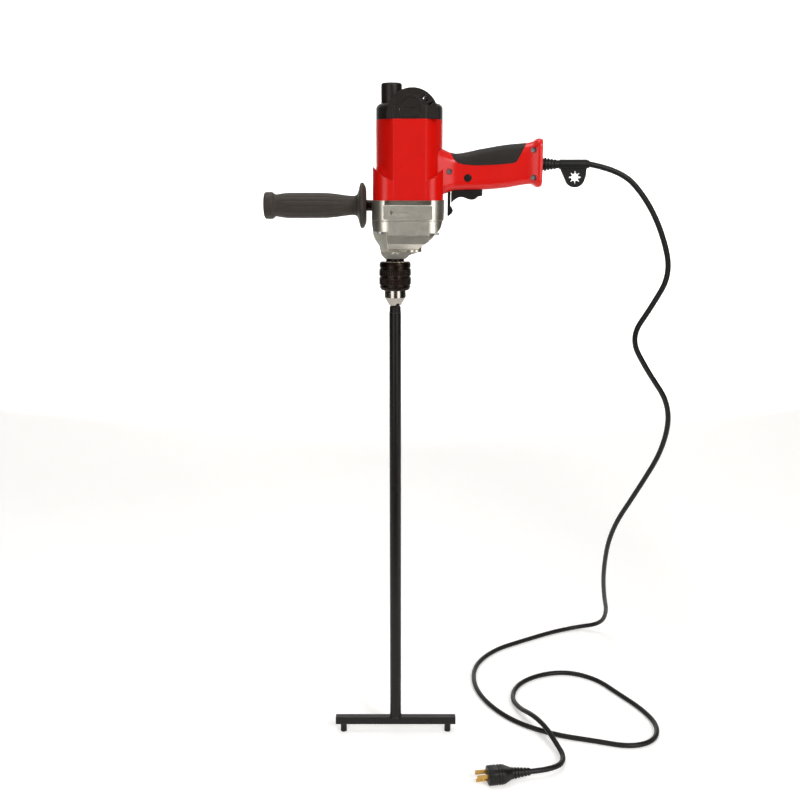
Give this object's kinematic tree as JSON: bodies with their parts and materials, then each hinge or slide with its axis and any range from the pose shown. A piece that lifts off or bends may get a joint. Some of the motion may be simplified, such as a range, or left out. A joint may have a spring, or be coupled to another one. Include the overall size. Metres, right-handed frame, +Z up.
{
  "type": "mixing drill",
  "caption": "Corded mixing drill with vertical motor, spade handle, side handle and keyed chuck, holding a long tube driver with a pegged crossbar.",
  "frame": {"origin": "middle of the driver's two pegs, level with their tips, on the spindle axis", "axes": "+Z up the spindle axis towards the motor, +X towards the main handle, -Y the front"},
  "size_m": [0.6075, 0.5093, 0.9906],
  "materials": {
    "red_housing": "glossy moulded nylon",
    "black_cap": "satin moulded nylon",
    "soft_grip": "matte thermoplastic elastomer",
    "grip_rubber": "ribbed rubber",
    "cast_case": "die cast, shot blasted",
    "black_oxide": "black oxide",
    "bright_steel": "ground",
    "gear_steel": "hobbed and greased",
    "screw_steel": "zinc plated",
    "driver_paint": "satin black enamel",
    "weld_steel": "painted over the bead",
    "lamination": "stacked silicon steel",
    "copper": "enamelled copper wire",
    "brush_brass": "drawn brass",
    "carbon": "pressed carbon",
    "fan_plastic": "moulded glass-filled nylon",
    "trigger_plastic": "moulded nylon",
    "cord_rubber": "smooth rubber jacket",
    "seal_rubber": "nitrile",
    "lead_wire": "insulated wire"
  },
  "bodies": {
    "housing": {"motor_housing": "red_housing", "handle_half_front": "red_housing", "handle_half_back": "red_housing", "handle_grip_insert": "soft_grip", "top_cap": "black_cap", "brush_covers": "black_cap", "gear_case": "cast_case", "gear_case_cover": "cast_case", "gear_case_screws": "screw_steel", "cap_screws": "screw_steel", "handle_screws": "screw_steel", "cord_clamp_screws": "screw_steel", "field_core": "lamination", "field_coils": "copper", "brush_holders": "brush_brass", "carbon_brushes": "carbon", "brush_springs": "bright_steel", "armature_bearings": "bright_steel", "intermediate_bearings": "bright_steel", "spindle_bearings": "bright_steel", "spindle_seal": "seal_rubber", "switch_body": "trigger_plastic", "trigger_spring": "bright_steel", "cord_boot": "cord_rubber", "chuck_key_holder": "cord_rubber", "cord_inner_end": "cord_rubber", "cord_clamp": "trigger_plastic", "leads": "lead_wire", "cord": "cord_rubber", "plug_body": "cord_rubber", "plug_blades": "brush_brass"},
    "armature": {"armature_shaft": "gear_steel", "armature_core": "lamination", "armature_winding": "copper", "commutator": "copper", "cooling_fan": "fan_plastic"},
    "intermediate": {"intermediate_shaft": "gear_steel", "intermediate_gear": "gear_steel"},
    "spindle_set": {"spindle": "black_oxide", "spindle_gear": "gear_steel", "spindle_retaining_ring": "bright_steel", "chuck_body": "bright_steel", "chuck_screw": "screw_steel", "driver_shank": "driver_paint", "driver_tube": "driver_paint", "driver_crossbar": "driver_paint", "driver_pegs": "driver_paint", "driver_welds": "weld_steel"},
    "sleeve": {"chuck_sleeve": "black_oxide", "chuck_nut": "gear_steel"},
    "jaw_1": {"chuck_jaw_1": "gear_steel"},
    "jaw_2": {"chuck_jaw_2": "gear_steel"},
    "jaw_3": {"chuck_jaw_3": "gear_steel"},
    "trigger_set": {"trigger": "trigger_plastic"},
    "lever": {"reversing_lever": "trigger_plastic"},
    "button": {"lock_on_button": "trigger_plastic"},
    "side_handle": {"side_handle_grip": "grip_rubber", "side_handle_stud": "black_oxide"}
  },
  "joints": [
    {"name": "spindle_spin", "type": "hinge", "parent": "housing", "child": "spindle_set", "pos_m": [0, 0, 0.76], "axis": [0, 0, 1], "continuous": true},
    {"name": "intermediate_spin", "type": "hinge", "parent": "housing", "child": "intermediate", "pos_m": [0.02671, -0.0167, 0.78], "axis": [0, 0, 1], "continuous": true},
    {"name": "armature_spin", "type": "hinge", "parent": "housing", "child": "armature", "pos_m": [0.02, 0, 0.8], "axis": [0, 0, 1], "continuous": true},
    {"name": "sleeve_turn", "type": "hinge", "parent": "spindle_set", "child": "sleeve", "pos_m": [0, 0, 0.72], "axis": [0, 0, 1], "range_deg": [0, 1140]},
    {"name": "jaw_1_slide", "type": "slide", "parent": "spindle_set", "child": "jaw_1", "axis": [0.1251, 0.166, 0.9781], "range_m": [0, 0.0048]},
    {"name": "jaw_2_slide", "type": "slide", "parent": "spindle_set", "child": "jaw_2", "axis": [-0.2064, 0.0253, 0.9781], "range_m": [0, 0.0048]},
    {"name": "jaw_3_slide", "type": "slide", "parent": "spindle_set", "child": "jaw_3", "axis": [0.0812, -0.1914, 0.9781], "range_m": [0, 0.0048]},
    {"name": "trigger_pull", "type": "slide", "parent": "housing", "child": "trigger_set", "axis": [0, 0, 1], "range_m": [0, 0.0045], "stiffness_N_per_m": 900, "springref_m": -0.003, "deforming": ["trigger_spring"]},
    {"name": "lever_tilt", "type": "hinge", "parent": "housing", "child": "lever", "pos_m": [0.076, 0, 0.85], "axis": [1, 0, 0], "range_deg": [-10, 10]},
    {"name": "lock_button_press", "type": "slide", "parent": "housing", "child": "button", "axis": [0, 1, 0], "range_m": [0, 0.002], "stiffness_N_per_m": 600, "springref_m": -0.001},
    {"name": "side_handle_turn", "type": "hinge", "parent": "housing", "child": "side_handle", "pos_m": [-0.04, 0, 0.8255], "axis": [1, 0, 0], "continuous": true}
  ],
  "couplings": [
    {"joint": "intermediate_spin", "follows": "spindle_spin", "ratio": -3.6667},
    {"joint": "armature_spin", "follows": "spindle_spin", "ratio": 23.833},
    {"joint": "jaw_1_slide", "follows": "sleeve_turn", "m_per_rad": 0.00023873},
    {"joint": "jaw_2_slide", "follows": "sleeve_turn", "m_per_rad": 0.00023873},
    {"joint": "jaw_3_slide", "follows": "sleeve_turn", "m_per_rad": 0.00023873}
  ]
}
